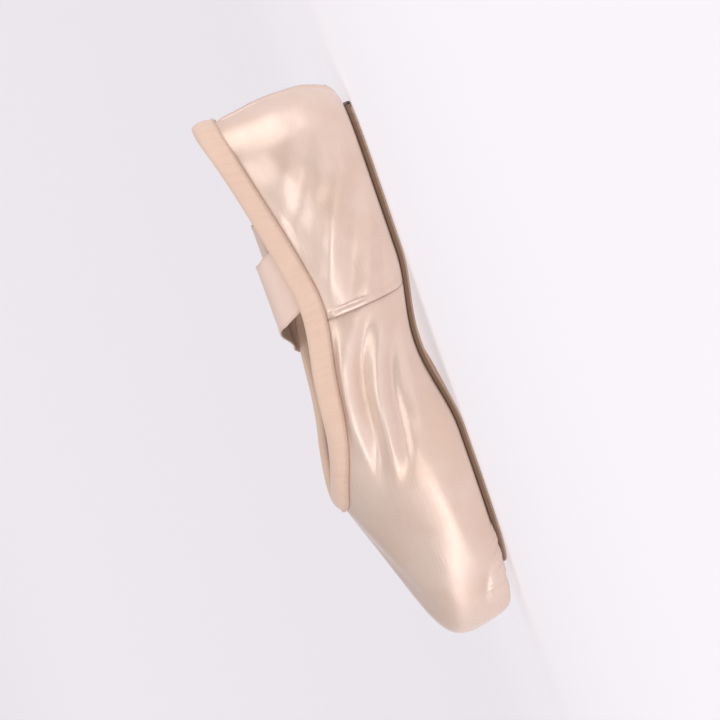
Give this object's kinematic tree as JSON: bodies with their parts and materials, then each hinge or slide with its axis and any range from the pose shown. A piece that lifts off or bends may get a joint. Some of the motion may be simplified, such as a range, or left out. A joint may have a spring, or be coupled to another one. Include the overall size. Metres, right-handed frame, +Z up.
{
  "type": "pointe shoe",
  "caption": "Satin pointe shoe with a stiff box and flat platform, leather outsole, insole, bound collar and satin ribbons that lie loose beside it.",
  "frame": {"origin": "on the floor under the middle of the shoe's own box, without the ribbons", "axes": "-Y to the toe, +Y to the heel, +X to the inner side of a right foot, +Z up from the floor"},
  "size_m": [0.2294, 0.2748, 0.0623],
  "materials": {
    "satin": "glossy peach satin with a fine weave along the shoe",
    "binding": "matte peach cotton tape, finely puckered",
    "outsole_leather": "buffed tan leather with scuffs",
    "insole_lining": "unbleached cotton over board",
    "ribbon": "soft peach satin ribbon with woven edges"
  },
  "bodies": {
    "root": {"upper": "satin", "collar_binding": "binding", "outsole": "outsole_leather", "insole": "insole_lining", "ribbon_inner": "ribbon", "ribbon_outer": "ribbon"}
  },
  "joints": []
}
